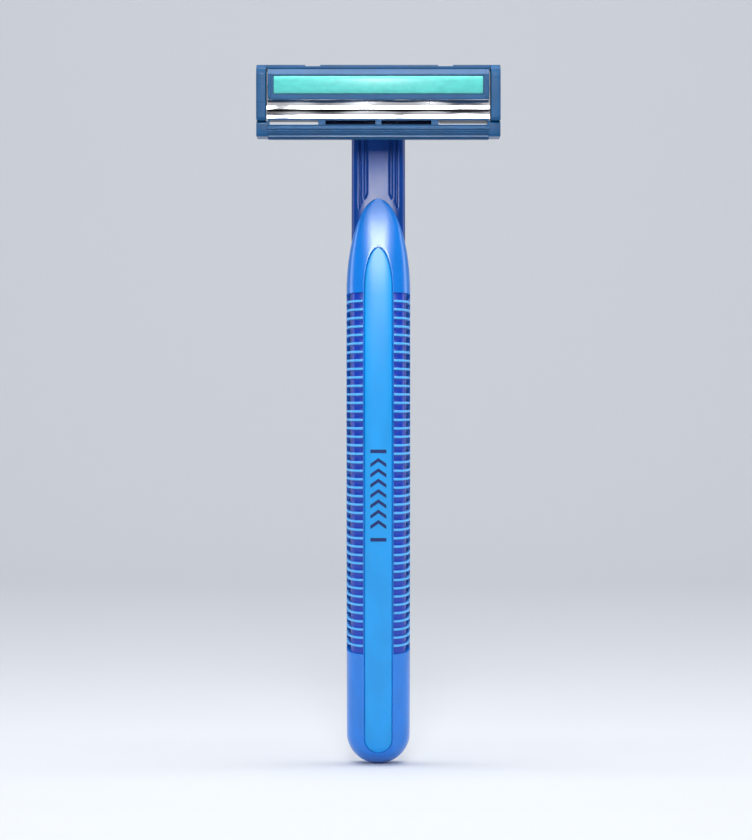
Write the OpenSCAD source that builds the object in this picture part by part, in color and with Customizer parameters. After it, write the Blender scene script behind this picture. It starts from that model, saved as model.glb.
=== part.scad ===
// Twin-blade cartridge razor: a bowed two-shot handle and a cartridge that slides
// off a T rail at the top of the neck. The blades face -Y and +Z points to the head.

/* [Razor] */
// Height from the round end of the grip to the top of the cartridge
razor_h = 119.3; // [105:0.1:145]
// Radius of the bow of the handle, seen from the side
bow_r = 205; // [150:1:400]
// Height at which the bow stands furthest forward
bow_mid_z = 65; // [50:1:75]

/* [Grip] */
// Width of the grip, side to side
grip_w = 10.9; // [9:0.1:13.5]
// Thickness of the grip, front to back
grip_t = 8.6; // [7.6:0.1:10.5]
// Squareness of the grip's section, where 2 is an ellipse
grip_square = 2.8; // [2:0.1:4]
// Length of the arrowhead that overlaps the neck
arrow_l = 15.8; // [10:0.1:20]
// Length of bare neck between the arrowhead and the cartridge
bare_neck_l = 9.9; // [8:0.1:14]
// Height of the arrowhead's tip above the neck
arrow_step = 0.35; // [0.2:0.05:0.8]
// Length over which the end of the grip rounds off, seen from the side
end_round = 5; // [3:0.1:8]

/* [Side grips] */
// Height of the lower edge of the ribbed zone
rib_zone_low_z = 19.5; // [12:0.1:30]
// Plain length between the ribbed zone and the shoulder
rib_zone_below_shoulder = 0.3; // [0.2:0.1:5]
// Reach of the side grips behind the handle's axis, up to the plain back of the shell
rib_wrap = 0.8; // [0.2:0.1:1.5]
// Number of ribs on each side
rib_count = 42; // [20:1:60]
// Thickness of one rib along the handle
rib_t = 0.39; // [0.2:0.01:0.7]
// Height of a rib above its bed
rib_h = 0.55; // [0.2:0.01:1]

/* [Thumb panel] */
// Width of the inlaid panel
panel_w = 4.8; // [3:0.1:6]
// Width of the lip that the grip leaves beside the panel
panel_lip = 0.2; // [0.1:0.05:0.5]
// Thickness of the panel
panel_t = 1.1; // [0.6:0.1:1.5]
// Length of the panel's pointed arch
panel_arch_l = 7.3; // [4:0.1:10]
// Height of the panel's round lower end
panel_low_z = 2.2; // [1.5:0.1:6]
// Height of the tip of the panel's arch above the shoulder
panel_above_shoulder = 7.4; // [3:0.1:9]
// Depth of the panel's face below the face of the grip
panel_sink = 0.12; // [0:0.01:0.3]

/* [Core] */
// Width of the neck
neck_w = 9.15; // [7:0.05:10]
// Thickness of the neck
neck_t = 4.8; // [4:0.1:5.6]
// Radius of the neck's curve, which leads it upright to the cartridge
neck_r = 50; // [40:1:120]
// Width of the tang inside the grip
tang_w = 3.4; // [2:0.1:4]
// Thickness of the tang inside the grip
tang_t = 3.6; // [2:0.1:4]
// Height of the lower end of the tang
tang_low_z = 11; // [8:1:40]
// Distance from the neck's middle to the centre of the inner flute
flute_inner_x = 2.14; // [1.5:0.01:2.6]
// Distance from the neck's middle to the centre of the outer flute
flute_outer_x = 3.11; // [2.7:0.01:3.6]
// Width of the inner flute
flute_inner_w = 0.57; // [0.3:0.01:0.8]
// Width of the outer flute
flute_outer_w = 0.39; // [0.2:0.01:0.6]
// Distance from the arrowhead's tip to the start of the flutes
flute_above_tip = 0.8; // [0.5:0.1:4]
// Depth of the flutes
flute_d = 0.4; // [0.1:0.05:0.8]

/* [Rail] */
// Length of the T rail, across the handle
rail_l = 20.4; // [14:0.1:24]
// Height of the head of the T
rail_head_h = 5.3; // [4.4:0.1:5.5]
// Thickness of the head of the T
rail_head_t = 1.6; // [1:0.1:2]
// Height of the stem of the T
rail_stem_h = 3.7; // [2.4:0.1:3.9]
// Clearance on each side of the T rail in its channel
rail_clear = 0.15; // [0.1:0.01:0.3]

/* [Cartridge] */
// Width of the cartridge
head_w = 41.1; // [38:0.1:46]
// Height of the cartridge
head_h = 12.2; // [12:0.1:14]
// Depth of the guard bar from the back of the cartridge
guard_d = 6.4; // [6.2:0.1:7.5]
// Gap between the back of the cartridge and the front of the neck
head_gap = 0.5; // [0.4:0.1:1.5]
// Width of each end arm of the frame
arm_w = 1.65; // [1.2:0.05:2]
// Height of an end arm above the face of the cap
arm_proud = 0.3; // [0.1:0.05:0.5]
// Gap between an end arm and the cap
arm_gap = 0.25; // [0.15:0.01:0.4]
// Height of the corner blocks, up to the parting line with the arms
corner_h = 2.7; // [2.4:0.1:3]
// Thickness of the frame's top band
band_t = 0.7; // [0.5:0.1:1]
// Thickness of the wall in front of the T channel's mouth
lip_t = 1; // [0.8:0.1:1.2]

/* [Rinse slot] */
// Height of the lower edge of the rinse slot
slot_z = 2.05; // [1.9:0.01:2.2]
// Height of the rinse slot
slot_h = 0.75; // [0.5:0.01:0.9]
// Width of the middle web
web_mid_w = 1; // [0.6:0.1:1.5]
// Width of each outer web
web_side_w = 1.2; // [0.6:0.1:1.5]
// Distance of the outer webs from the middle
web_side_x = 9.5; // [7:0.1:12]

/* [Blades] */
// Gap between the end of a blade and an end arm
blade_gap = 0.15; // [0.05:0.01:0.3]
// Width of a blade strip, from edge to back
blade_w = 4.4; // [4:0.1:4.6]
// Thickness of a blade
blade_t = 0.12; // [0.08:0.01:0.2]
// Width of the honed bevel
hone_w = 0.6; // [0.3:0.05:0.9]
// Angle between a blade and the shaving plane
blade_tilt = 22; // [18:0.5:25]
// Height of the lower blade's edge above the bottom of the cartridge
edge_z = 3.1; // [3:0.01:3.2]
// Height of the upper edge above the lower edge
blade_span = 1.57; // [1.3:0.01:1.7]
// Visible width of the upper blade below the cap
blade_show = 1.58; // [1.2:0.01:1.8]

/* [Cap] */
// Thickness of the lubricating strip
strip_t = 0.75; // [0.5:0.05:0.8]
// Gap between the end of the strip and the raised end of the cap
strip_gap = 0.45; // [0.1:0.05:1.5]
// Height of the lubricating strip
strip_h = 3; // [2.4:0.1:3.1]
// Height of the strip's lower edge above the bottom of the cartridge
strip_z = 7.25; // [7.2:0.01:7.4]
// Height of the strip above the face of the cap
strip_proud = 0.2; // [0:0.05:0.4]
// Width of the raised ends of the cap
cap_end_w = 0.6; // [0.3:0.1:1]
// Diameter of the staking pins that hold the blades
pin_d = 1; // [0.8:0.1:1.2]
// Distance of the outer staking pins from the ends of the blades
pin_from_end = 3.75; // [2:0.05:6]
// Distance of the inner staking pins from the middle
pin_inner_x = 6; // [3:0.5:9]
// Clearance around a pin in the blades and the spacer
pin_clear = 0.05; // [0.03:0.01:0.1]

/* [Hidden] */

$fn = 360;
far = 100;                 // reach of a cut that goes right through
eps = 0.01;
overlap_deg = 0.5;         // reach of a swept cut beyond what it cuts
section_steps = 32;
curve_steps = 18;

// The bow's centre lies behind the grip. Above the arrowhead the neck's curve runs the
// other way about a centre in front, and both share their tangent where it starts.
shoulder_z = razor_h - head_h - bare_neck_l - arrow_l;
bend_z = shoulder_z + arrow_l + 0.3;
bend_deg = asin((bend_z - bow_mid_z) / bow_r);
neck_mid_z = bend_z + neck_r * sin(bend_deg);
neck_mid_y = bow_r - (bow_r + neck_r) * cos(bend_deg) + neck_r;
grip_front_r = bow_r + grip_t / 2;

head_z = razor_h - head_h;
frame_x = head_w / 2;
arm_x = frame_x - arm_w;
inner_x = arm_x - arm_gap;
cap_top_z = head_h - band_t;
blade_l = 2 * (arm_x - blade_gap);
strip_l = 2 * (inner_x - cap_end_w - strip_gap);

flute_low_z = shoulder_z + arrow_l + flute_above_tip;
panel_top_z = shoulder_z + panel_above_shoulder;
rib_zone_top_z = shoulder_z - rib_zone_below_shoulder;

channel_h = rail_head_h + 2 * rail_clear;
mouth_h = rail_stem_h + 2 * rail_clear;
channel_t = rail_head_t + 2 * rail_clear;
channel_z = 0.85;
rail_z = channel_z + channel_h / 2;
stop_x = rail_l / 2 + rail_clear;

stack_t = blade_span * sin(blade_tilt);   // back of one blade to back of the next
stack_step = blade_span * cos(blade_tilt);
clamp_n = stack_t + blade_t;
clamp_s = stack_step + blade_show;
stack_end = stack_step + blade_w + 0.15;
edge_y = -guard_d + 0.1;
pin_s = clamp_s + pin_d / 2 + 0.2;
spacer_s = stack_step + 0.85;
cap_face_y = -guard_d - 0.15;
platform_top_z = edge_z + stack_end * cos(blade_tilt);

// The razor is shifted in depth so that its box is centred on the origin
neck_top_z = head_z + rail_z + rail_stem_h / 2 + 0.3;
head_back_y = neck_y(neck_top_z) - neck_t / 2 - head_gap;
head_front_y = head_back_y + cap_face_y - arm_proud;
grip_back_y = bow_y(end_round / 2) + grip_t / 2;
origin_y = -(head_front_y + grip_back_y) / 2;

// Depth of the handle's axis at height z, with the foremost point of the bow at 0
function bow_y(z) = bow_r - sqrt(pow(bow_r, 2) - pow(z - bow_mid_z, 2));
function neck_y(z) = neck_mid_y - neck_r + sqrt(pow(neck_r, 2) - pow(z - neck_mid_z, 2));

// Angle along each curve of a point at height z on radius r
function bow_deg(z, r = bow_r) = asin((z - bow_mid_z) / r);
function neck_deg(z, r = neck_r) = asin((z - neck_mid_z) / r);

// Superellipse with half sizes a and b
function superellipse(a, b, n) = [
    for (i = [0:section_steps - 1])
        let (t = 360 * i / section_steps, c = cos(t), s = sin(t))
        [a * sign(c) * pow(abs(c), 2 / n), b * sign(s) * pow(abs(s), 2 / n)]];

// Point in the cartridge's side view at distance s up a blade and n in front of the seat
function on_stack(s, n) = [edge_y + s * sin(blade_tilt) - n * cos(blade_tilt),
                           edge_z + s * cos(blade_tilt) + n * sin(blade_tilt)];

// Half thickness of the grip over its round end and over its arrowhead, at height z
function end_half_t(z) = grip_t / 2 / cos(bow_deg(0)) * sqrt(1 - pow(1 - (z + 0.1) / (end_round + 0.1), 2));
function arrow_half_t(z) = grip_t / 2 - (grip_t / 2 - neck_t / 2 - arrow_step) * pow((z - shoulder_z) / arrow_l, 2);

shoulder_deg = bow_deg(shoulder_z);
rib_low_deg = bow_deg(rib_zone_low_z, grip_front_r);
rib_high_deg = bow_deg(rib_zone_top_z, grip_front_r);

// Sweeps a section, given as [forward of the axis, across], along the bow
module along_bow(low_deg, high_deg) {
    translate([0, origin_y + bow_r, bow_mid_z])
        rotate([90, 0, -90])
            rotate([0, 0, low_deg])
                rotate_extrude(angle = high_deg - low_deg) translate([bow_r, 0]) children();
}

// Sweeps the same section along the neck's curve, which starts above the arrowhead
module along_neck(high_z, low_deg = -bend_deg) {
    translate([0, origin_y + neck_mid_y - neck_r, neck_mid_z])
        rotate([90, 0, 90])
            rotate([0, 0, low_deg])
                rotate_extrude(angle = neck_deg(high_z) - low_deg)
                    translate([neck_r, 0]) mirror([1, 0]) children();
}

// Extrudes a front view through the depth
module through_y() {
    rotate([90, 0, 0]) linear_extrude(far, center = true) children();
}

// Extrudes a side view across the width
module through_x(width) {
    rotate([90, 0, 90]) linear_extrude(width, center = true) children();
}

module in_head() {
    translate([0, origin_y + head_back_y, head_z]) children();
}

module on_blades() {
    translate([0, edge_y, edge_z]) rotate([-blade_tilt, 0, 0]) children();
}

// Front view with a round lower end and an elliptical arch on top
module arched_view(width, low_z, spring_z, arch_l) {
    r = width / 2;
    polygon(concat(
        [for (i = [0:curve_steps]) let (t = 180 + 180 * i / curve_steps)
            [r * cos(t), low_z + r + r * sin(t)]],
        [for (i = [0:curve_steps]) let (t = 180 * i / curve_steps)
            [r * cos(t), spring_z + arch_l * sin(t)]]));
}

// Section of the grip, reduced all round by inset
module grip_section(inset = 0) {
    polygon(superellipse(grip_t / 2 - inset, grip_w / 2 - inset, grip_square));
}

// Limits of the grip in the side view: the round end and the taper of the arrowhead
module grip_side_limits() {
    end_z = [for (i = [0:curve_steps]) end_round * (1 - cos(90 * i / curve_steps))];
    arrow_z = [for (i = [0:4]) shoulder_z + (arrow_l + 1) * i / 4];
    through_x(2 * grip_w)
        translate([origin_y, 0])
            polygon(concat(
                [for (z = end_z) [bow_y(z) - end_half_t(z), z]],
                [[-far, end_round], [-far, shoulder_z]],
                [for (z = arrow_z) [bow_y(z) - arrow_half_t(z), z]],
                [for (i = [0:4]) let (z = arrow_z[4 - i]) [bow_y(z) + arrow_half_t(z), z]],
                [[far, shoulder_z], [far, end_round]],
                [for (i = [0:curve_steps]) let (z = end_z[curve_steps - i]) [bow_y(z) + end_half_t(z), z]]));
}

// Cuts what is swept along the handle to the grip's front and side views
module in_grip_outline() {
    intersection() {
        children();
        through_y() arched_view(grip_w, 0, shoulder_z, arrow_l);
        grip_side_limits();
    }
}

module in_panel_outline() {
    intersection() {
        children();
        through_y() arched_view(panel_w, panel_low_z, panel_top_z - panel_arch_l, panel_arch_l);
    }
}

// Everything in front of the panel's floor
module panel_band() {
    translate([grip_t / 2 - panel_t, -panel_w]) square([grip_t, 2 * panel_w]);
}

// Place of a side grip in the grip's section, on the side that lands on -X
module beside_panel() {
    translate([-rib_wrap, panel_w / 2 + panel_lip]) square([grip_t, grip_w]);
}

module neck_section() {
    polygon(superellipse(neck_t / 2, neck_w / 2, 5));
}

module tang_section() {
    square([tang_t, tang_w], center = true);
}

module flute_section(x, width, face) {
    translate([face * neck_t / 2 - flute_d, x - width / 2]) square([2 * flute_d, width]);
}

// The T rail on its gusseted crosspiece, in the cartridge's own place
module t_rail() {
    head_back = -lip_t - rail_clear;
    neck_front = head_gap + 1;
    translate([-rail_l / 2, head_back - rail_head_t, rail_z - rail_head_h / 2])
        cube([rail_l, rail_head_t, rail_head_h]);
    translate([0, 0, rail_z - rail_stem_h / 2])
        linear_extrude(rail_stem_h)
            polygon([[-rail_l / 2, head_back - eps], [rail_l / 2, head_back - eps], [rail_l / 2, head_gap],
                     [neck_w / 2, neck_front + 1], [-neck_w / 2, neck_front + 1], [-rail_l / 2, head_gap]]);
}

module handle_core() {
    color([0.05, 0.17, 0.45]) {
        along_bow(shoulder_deg, bend_deg) neck_section();
        difference() {
            along_neck(neck_top_z) neck_section();
            for (side = [-1, 1], face = [-1, 1])
                along_neck(neck_top_z + 2, neck_deg(flute_low_z)) {
                    flute_section(side * flute_inner_x, flute_inner_w, face);
                    flute_section(side * flute_outer_x, flute_outer_w, face);
                }
        }
        along_bow(bow_deg(tang_low_z), bend_deg + overlap_deg) tang_section();
        in_head() t_rail();
    }
}

module grip_shell() {
    color([0.04, 0.52, 0.93])
        difference() {
            in_grip_outline() along_bow(bow_deg(-grip_t), bend_deg + overlap_deg) grip_section();
            in_panel_outline() along_bow(bow_deg(-grip_t), bend_deg) panel_band();
            along_bow(bow_deg(tang_low_z), shoulder_deg + overlap_deg) tang_section();
            along_bow(shoulder_deg, bend_deg + 2 * overlap_deg) neck_section();
            for (side = [0, 1]) mirror([side, 0, 0]) along_bow(rib_low_deg, rib_high_deg) beside_panel();
        }
}

module panel_section() {
    intersection() {
        translate([-panel_sink, 0]) grip_section();
        panel_band();
    }
}

module thumb_panel() {
    color([0.06, 0.56, 0.97])
        in_panel_outline() in_grip_outline() along_bow(bow_deg(-grip_t), bend_deg) panel_section();
}

// Ribbed elastomer grip, with its bed below the ribs, on the side that lands on -X
module side_grip() {
    pitch = (rib_high_deg - rib_low_deg) / (rib_count + 1);
    half_rib = rib_t / 2 / bow_r * 180 / PI;
    along_bow(rib_low_deg, rib_high_deg) side_section(rib_h);
    for (i = [1:rib_count]) let (middle = rib_low_deg + i * pitch)
        along_bow(middle - half_rib, middle + half_rib) side_section(0);
}

module side_section(inset) {
    intersection() {
        grip_section(inset);
        beside_panel();
    }
}

module side_grip_left() {
    color([0.02, 0.36, 0.82]) side_grip();
}

module side_grip_right() {
    color([0.02, 0.36, 0.82]) mirror([1, 0, 0]) side_grip();
}

// Channel for the T rail, open at the -X end and stopped at the +X end
module rail_channel() {
    translate([stop_x - far, -lip_t - channel_t, rail_z - channel_h / 2])
        cube([far, channel_t, channel_h]);
    translate([stop_x - far, -lip_t - eps, rail_z - mouth_h / 2])
        cube([far, lip_t + 1, mouth_h]);
}

// One window of the rinse slot between two places across the cartridge
module slot_window(from_x, to_x) {
    translate([from_x, -2 * guard_d, slot_z]) cube([to_x - from_x, far, slot_h]);
}

module rinse_slot() {
    first_x = web_mid_w / 2;
    web_in_x = web_side_x - web_side_w / 2;
    web_out_x = web_side_x + web_side_w / 2;
    for (side = [0, 1]) mirror([side, 0, 0]) {
        intersection() {
            slot_window(first_x, web_in_x);
            translate([-far / 2, -far, 0]) cube([far, far - lip_t - channel_t + eps, far]);
        }
        slot_window(web_out_x, inner_x - 0.3);
    }
}

module platform() {
    guard_r = 2;
    seat_front = on_stack(0.25, 0);
    seat_back = on_stack(stack_end, 0);
    color([0.16, 0.42, 0.69])
        in_head() difference() {
            union() {
                through_x(2 * inner_x)
                    polygon(concat(
                        [[0, 0]],
                        [for (i = [0:6]) let (t = 270 - 15 * i)
                            [guard_r - guard_d + guard_r * cos(t), guard_r + guard_r * sin(t)]],
                        [[-guard_d, slot_z + slot_h / 2], [seat_front[0], slot_z + slot_h], seat_front,
                         seat_back, [0, platform_top_z]]));
                for (i = [0:3]) let (t = 268 - 28 * i)
                    translate([0, guard_r - guard_d + guard_r * cos(t), guard_r + guard_r * sin(t)])
                        rotate([0, 90, 0]) cylinder(h = 2 * inner_x, r = 0.12, $fn = 24, center = true);
                translate([-frame_x, -guard_d + 0.3, 0.1]) cube([head_w, guard_d - 0.4, corner_h - 0.1]);
            }
            rail_channel();
            rinse_slot();
            on_blades() pins(pin_d / 2);
        }
}

// The four staking pins, in the blades' own frame
module pins(r) {
    outer_x = blade_l / 2 - pin_from_end;
    for (x = [-outer_x, -pin_inner_x, pin_inner_x, outer_x])
        translate([x, -clamp_n - eps, pin_s])
            rotate([-90, 0, 0]) cylinder(h = clamp_n + 1.2, r = r, $fn = 48);
}

// A blade strip whose edge is at distance s and whose back is n in front of the seat
module blade(s, n) {
    color([0.85, 0.86, 0.88])
        in_head() on_blades() difference() {
            through_x(blade_l)
                polygon([[-n, s], [-n - blade_t, s + hone_w], [-n - blade_t, s + blade_w], [-n, s + blade_w]]);
            pins(pin_d / 2 + pin_clear);
        }
}

module seat_blade() {
    blade(0, 0);
}

module cap_blade() {
    blade(stack_step, stack_t);
}

module blade_spacer() {
    color([0.7, 0.72, 0.74])
        in_head() on_blades() difference() {
            translate([-blade_l / 2, -stack_t, spacer_s])
                cube([blade_l, stack_t - blade_t, blade_w - spacer_s + stack_step * 0.6]);
            pins(pin_d / 2 + pin_clear);
        }
}

module cap() {
    lip = on_stack(clamp_s, clamp_n);
    relief = on_stack(stack_end, clamp_n);
    seat_back = on_stack(stack_end, 0);
    color([0.18, 0.46, 0.73])
        in_head() {
            difference() {
                union() {
                    through_x(2 * inner_x)
                        polygon([lip, relief, [seat_back[0] + 0.1, relief[1]],
                                 [seat_back[0] + 0.1, platform_top_z], [-0.3, platform_top_z],
                                 [-0.3, cap_top_z], [cap_face_y + 0.8, cap_top_z],
                                 [cap_face_y, cap_top_z - 0.9], [cap_face_y, lip[1] + 0.3],
                                 [cap_face_y + 0.1, lip[1] + 0.05]]);
                    for (side = [0, 1]) mirror([side, 0, 0])
                        translate([inner_x - cap_end_w, cap_face_y - 0.2, lip[1] + 0.3])
                            cube([cap_end_w, 0.3, cap_top_z - 1 - lip[1]]);
                }
                translate([-strip_l / 2, cap_face_y - strip_proud - strip_t, strip_z])
                    cube([strip_l, 2 * strip_t, strip_h]);
            }
            on_blades() pins(pin_d / 2);
        }
}

module lube_strip() {
    bevel = 0.25;
    back_y = cap_face_y - strip_proud + strip_t;
    color([0.45, 0.88, 0.85])
        in_head() through_x(strip_l)
            polygon([[back_y, strip_z], [back_y, strip_z + strip_h],
                     [back_y - strip_t + bevel, strip_z + strip_h],
                     [back_y - strip_t, strip_z + strip_h - bevel],
                     [back_y - strip_t, strip_z + bevel], [back_y - strip_t + bevel, strip_z]]);
}

// The outer frame: a top band with an end arm at each side
module head_frame() {
    arm_front = cap_face_y - arm_proud;
    color([0.15, 0.42, 0.7])
        in_head() difference() {
            union() {
                for (side = [0, 1]) mirror([side, 0, 0])
                    translate([arm_x + arm_w / 2, 0, 0]) through_x(arm_w)
                        polygon([[-0.3, corner_h], [-0.3, head_h], [arm_front + 1.2, head_h],
                                 [arm_front + 0.3, head_h - 0.7], [arm_front, head_h - 1.6],
                                 [arm_front, corner_h + 0.5], [arm_front + 0.3, corner_h]]);
                translate([-frame_x, arm_front + 1.2, cap_top_z]) cube([head_w, -arm_front - 1.5, band_t]);
            }
            rail_channel();
            for (x = [-11.05, 11.3])
                translate([x - 1.3, -far / 2, head_h - 0.2]) cube([2.6, far, 1]);
        }
}

handle_core();
grip_shell();
thumb_panel();
side_grip_left();
side_grip_right();
platform();
seat_blade();
blade_spacer();
cap_blade();
cap();
lube_strip();
head_frame();
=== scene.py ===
import math

import bmesh
import bpy
from bpy.props import FloatProperty, FloatVectorProperty, IntProperty, PointerProperty
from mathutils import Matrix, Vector


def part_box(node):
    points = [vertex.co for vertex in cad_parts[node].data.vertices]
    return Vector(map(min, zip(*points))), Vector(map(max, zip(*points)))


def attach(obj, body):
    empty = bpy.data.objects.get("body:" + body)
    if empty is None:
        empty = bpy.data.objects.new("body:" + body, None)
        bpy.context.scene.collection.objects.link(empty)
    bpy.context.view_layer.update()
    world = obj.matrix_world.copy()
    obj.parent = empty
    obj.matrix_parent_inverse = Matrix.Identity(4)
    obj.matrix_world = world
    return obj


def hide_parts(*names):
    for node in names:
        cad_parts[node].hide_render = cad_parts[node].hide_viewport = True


bl_info = {
    "name": "Cartridge Razor",
    "version": (1, 0, 0),
    "blender": (4, 5, 0),
    "location": "View3D > Sidebar > Razor",
    "description": "Builds the visible pieces of a twin-blade razor around its packed frame",
    "category": "Object",
}

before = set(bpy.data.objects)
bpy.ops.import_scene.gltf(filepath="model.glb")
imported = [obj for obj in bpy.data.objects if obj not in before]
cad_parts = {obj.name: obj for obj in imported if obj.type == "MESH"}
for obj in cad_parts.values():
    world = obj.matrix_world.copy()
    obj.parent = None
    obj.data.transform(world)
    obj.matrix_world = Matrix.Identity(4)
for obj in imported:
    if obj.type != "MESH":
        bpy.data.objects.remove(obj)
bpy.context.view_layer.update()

MM = 0.001

# Places that the frame gives
HEAD_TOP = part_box("head_frame")[1].z
HEAD_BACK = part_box("platform")[1].y
HEAD_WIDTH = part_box("head_frame")[1].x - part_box("head_frame")[0].x
GRIP_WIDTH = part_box("grip_shell")[1].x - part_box("grip_shell")[0].x

# The cartridge's own place is measured from its lower edge and its back
HEAD_BASE = HEAD_TOP - 12.2 * MM

# The bow of the handle and, above it, the neck's curve about a centre in front
BOW_FRONT_Y = -3.48654 * MM
BOW_RADIUS = 205 * MM
BOW_MIDDLE = 65 * MM
GRIP_DEPTH = 8.6 * MM
FRONT_RADIUS = BOW_RADIUS + GRIP_DEPTH / 2
BEND_Z = 97.5 * MM
BEND = math.asin((BEND_Z - BOW_MIDDLE) / BOW_RADIUS)
NECK_RADIUS = 50 * MM
NECK_MIDDLE = BEND_Z + NECK_RADIUS * math.sin(BEND)
NECK_CENTRE_Y = BOW_FRONT_Y + BOW_RADIUS - (BOW_RADIUS + NECK_RADIUS) * math.cos(BEND)


# ------------------------------ settings

class HandleSizes(bpy.types.PropertyGroup):
    """Sizes of the handle"""
    grip_width: FloatProperty(name="Grip width", description="Width of the grip, side to side",
                              default=GRIP_WIDTH, unit="LENGTH")
    grip_depth: FloatProperty(name="Grip depth", description="Thickness of the grip, front to back",
                              default=GRIP_DEPTH, unit="LENGTH")
    shoulder: FloatProperty(name="Shoulder height", description="Height where the arrowhead starts",
                            default=81.4 * MM, unit="LENGTH")
    arrow: FloatProperty(name="Arrowhead length", description="Length of the arrowhead over the neck",
                         default=16.05 * MM, unit="LENGTH")
    panel_width: FloatProperty(name="Panel width", description="Width of the inlaid thumb panel",
                               default=4.8 * MM, unit="LENGTH")
    panel_sink: FloatProperty(name="Panel sink", description="Depth of the panel's face below the grip",
                              default=0.12 * MM, unit="LENGTH")
    rib_count: IntProperty(name="Ribs", description="Number of ribs on each side", default=42, min=2)
    rib_thickness: FloatProperty(name="Rib thickness", description="Thickness of one rib along the handle",
                                 default=0.39 * MM, unit="LENGTH")
    neck_width: FloatProperty(name="Neck width", description="Width of the fluted neck",
                              default=9.15 * MM, unit="LENGTH")
    neck_depth: FloatProperty(name="Neck depth", description="Thickness of the neck",
                              default=4.8 * MM, unit="LENGTH")


class CartridgeSizes(bpy.types.PropertyGroup):
    """Sizes of the cartridge"""
    arm_width: FloatProperty(name="Arm width", description="Width of an end arm of the frame",
                             default=1.65 * MM, unit="LENGTH")
    strip_length: FloatProperty(name="Strip length", description="Length of the lubricating strip",
                                default=35.2 * MM, unit="LENGTH")
    strip_height: FloatProperty(name="Strip height", description="Height of the lubricating strip",
                                default=3 * MM, unit="LENGTH")


def linear(code):
    """The linear RGBA of an sRGB hex colour."""
    parts = [int(code[i:i + 2], 16) / 255 for i in (1, 3, 5)]
    return tuple(c / 12.92 if c <= 0.04045 else ((c + 0.055) / 1.055) ** 2.4 for c in parts) + (1.0,)


def colour_property(name, code, description):
    """A colour setting with an sRGB hex default."""
    return FloatVectorProperty(name=name, description=description, subtype="COLOR", size=4,
                               min=0, max=1, default=linear(code))


class FinishColours(bpy.types.PropertyGroup):
    """Colours of the finishes"""
    shell: colour_property("Shell", "#0079dc", "Pearl blue of the grip's shell")
    panel: colour_property("Panel", "#0098e6", "Satin blue of the thumb panel")
    # The side grips' deeper blue between the ribs is painted shade, and the rib crests' paler blue is a
    # painted highlight: one elastomer, shaded between its ribs and lit on them
    side_grip: colour_property("Side grip", "#0036ae", "Deeper blue of the side grips, between their ribs")
    crest_highlight: colour_property("Rib crests", "#4fb0f2", "Paler blue on the ribs' polished crests")
    core: colour_property("Core", "#043c8c", "Navy of the neck and its rail")
    cartridge: colour_property("Cartridge", "#064f80", "Steel blue of the cartridge's mouldings")
    strip: colour_property("Strip", "#5ccdc6", "Mint of the lubricating strip")
    blade: colour_property("Blade", "#c2c3c8", "Stainless steel of the blades")
    spacer: colour_property("Spacer", "#b9bcc0", "Aluminium of the spacer")
    ink: colour_property("Ink", "#001d60", "Navy of the printed mark")
    paper: colour_property("Paper", "#dadde3", "Pale studio paper")


# ------------------------------ materials

def add_node(tree, kind, inputs=None, **settings):
    """Adds a shader node, sets its settings, and sets or links each input by name or number."""
    node = tree.nodes.new(kind)
    for name, value in settings.items():
        setattr(node, name, value)
    for key, value in (inputs or {}).items():
        if isinstance(value, bpy.types.NodeSocket):
            tree.links.new(value, node.inputs[key])
        else:
            node.inputs[key].default_value = value
    return node


def new_material(name, **shader):
    """A material with one Principled shader, and its tree, its shader and its object coordinates."""
    material = bpy.data.materials.new(name)
    material.use_nodes = True
    tree = material.node_tree
    tree.nodes.clear()
    principled = add_node(tree, "ShaderNodeBsdfPrincipled", shader)
    output = add_node(tree, "ShaderNodeOutputMaterial", {"Surface": principled.outputs["BSDF"]})
    output.is_active_output = True
    place = add_node(tree, "ShaderNodeTexCoord")
    return material, tree, principled, place.outputs["Object"]


def noise(tree, place, size, detail=2.0, stretch=(1, 1, 1), roughness=0.5):
    """Noise whose features are about size metres across, drawn out by stretch."""
    scaled = add_node(tree, "ShaderNodeMapping", {"Vector": place, "Scale": [1 / s for s in stretch]})
    return add_node(tree, "ShaderNodeTexNoise", {"Vector": scaled.outputs[0], "Scale": 1 / size,
                                                 "Detail": detail, "Roughness": roughness}).outputs["Fac"]


def shade(tree, value, colour, darker, lighter, low=0.35, high=0.65):
    """Spreads a value over two tones either side of a colour."""
    ramp = add_node(tree, "ShaderNodeValToRGB", {"Fac": value})
    ramp.color_ramp.elements[0].position = low
    ramp.color_ramp.elements[1].position = high
    ramp.color_ramp.elements[0].color = [c * darker for c in colour[:3]] + [1]
    ramp.color_ramp.elements[1].color = [min(1, c * lighter) for c in colour[:3]] + [1]
    return ramp.outputs["Color"]


def spread(tree, value, low, high):
    """Maps noise, which rarely leaves 0.3 to 0.7, to the range from low to high."""
    return add_node(tree, "ShaderNodeMapRange", {"Value": value, "From Min": 0.3, "From Max": 0.7,
                                                 "To Min": low, "To Max": high}).outputs["Result"]


def bump(tree, height, depth, strength=1.0, under=None):
    """A bump of a real depth in metres, on top of another where one is given."""
    inputs = {"Height": height, "Distance": depth, "Strength": strength}
    if under is not None:
        inputs["Normal"] = under
    return add_node(tree, "ShaderNodeBump", inputs).outputs["Normal"]


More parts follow.
